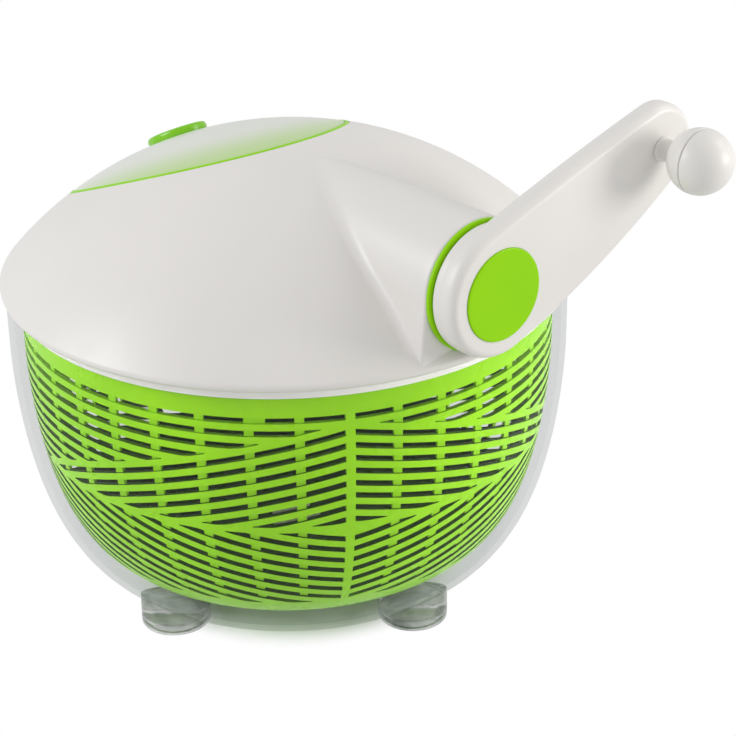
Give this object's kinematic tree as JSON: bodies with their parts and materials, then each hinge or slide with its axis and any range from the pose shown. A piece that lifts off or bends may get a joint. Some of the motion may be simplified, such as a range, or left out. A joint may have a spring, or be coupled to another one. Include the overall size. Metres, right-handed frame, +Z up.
{
  "type": "salad spinner",
  "caption": "Crank-driven salad spinner with a clear bowl, slotted basket, domed lid with a side crank and ball knob, and a push-button brake.",
  "frame": {"origin": "centre of the bowl's flat underside; the four feet reach 6 mm below it", "axes": "+Z up along the bowl's axis, +X outwards along the crank's axis"},
  "size_m": [0.3066, 0.2604, 0.2441],
  "materials": {
    "clear_plastic": "clear moulded plastic, glossy",
    "foot_rubber": "grey translucent rubber",
    "green_basket": "glossy green",
    "green_trim": "satin bright green",
    "green_button": "soft glossy green",
    "white_plastic": "satin white",
    "inner_white_plastic": "matt white",
    "frosted_window": "translucent, frosted",
    "gear_plastic": "natural acetal",
    "brake_rubber": "matt",
    "steel": "plated"
  },
  "bodies": {
    "bowl": {"bowl": "clear_plastic", "pivot_pin": "steel", "foot_1": "foot_rubber", "foot_2": "foot_rubber", "foot_3": "foot_rubber", "foot_4": "foot_rubber"},
    "basket": {"basket": "green_basket", "basket_bush": "gear_plastic"},
    "lid": {"lid_shell": "white_plastic", "window": "frosted_window", "window_trim": "green_trim", "lid_skirt": "white_plastic", "inner_cover": "inner_white_plastic", "cover_screw_1": "steel", "cover_screw_2": "steel", "cover_screw_3": "steel", "cover_screw_4": "steel", "bracket_screw_1": "steel", "bracket_screw_2": "steel", "bearing_bracket": "inner_white_plastic", "crank_bush": "gear_plastic", "bracket_bush": "gear_plastic", "spindle_bush": "gear_plastic", "crank_ring": "green_trim"},
    "crank": {"crank_arm": "white_plastic", "crank_cap": "green_trim", "crank_screw": "steel", "crank_shaft": "steel", "thrust_washer": "steel", "crown_gear": "gear_plastic", "shaft_clip": "steel", "knob_pin": "white_plastic"},
    "knob": {"knob_rear": "white_plastic", "knob_front": "white_plastic"},
    "spindle": {"spindle": "steel", "pinion": "gear_plastic", "drive_disc": "inner_white_plastic", "disc_screw": "steel"},
    "brake": {"brake_button": "green_button", "brake_stem": "gear_plastic", "brake_pad": "brake_rubber", "brake_spring": "steel"}
  },
  "joints": [
    {"name": "lid_lift", "type": "slide", "parent": "bowl", "child": "lid", "axis": [0, 0, 1], "range_m": [0, 0.2]},
    {"name": "basket_spin", "type": "hinge", "parent": "bowl", "child": "basket", "pos_m": [0, 0, 0.018], "axis": [0, 0, 1], "continuous": true},
    {"name": "crank_turn", "type": "hinge", "parent": "lid", "child": "crank", "pos_m": [0.1282, 0, 0.179], "axis": [1, 0, 0], "continuous": true},
    {"name": "knob_spin", "type": "hinge", "parent": "crank", "child": "knob", "pos_m": [0.1622, 0.0924, 0.21879], "axis": [1, 0, 0], "continuous": true},
    {"name": "spindle_spin", "type": "hinge", "parent": "lid", "child": "spindle", "pos_m": [0, 0, 0.15], "axis": [0, 0, 1], "continuous": true},
    {"name": "brake_press", "type": "slide", "parent": "lid", "child": "brake", "axis": [0, 0, -1], "range_m": [0, 0.004], "stiffness_N_per_m": 250, "springref_m": -0.003, "deforming": ["brake_spring"]}
  ],
  "couplings": [
    {"joint": "spindle_spin", "follows": "crank_turn", "ratio": 3.3333},
    {"joint": "basket_spin", "follows": "crank_turn", "ratio": 3.3333}
  ]
}
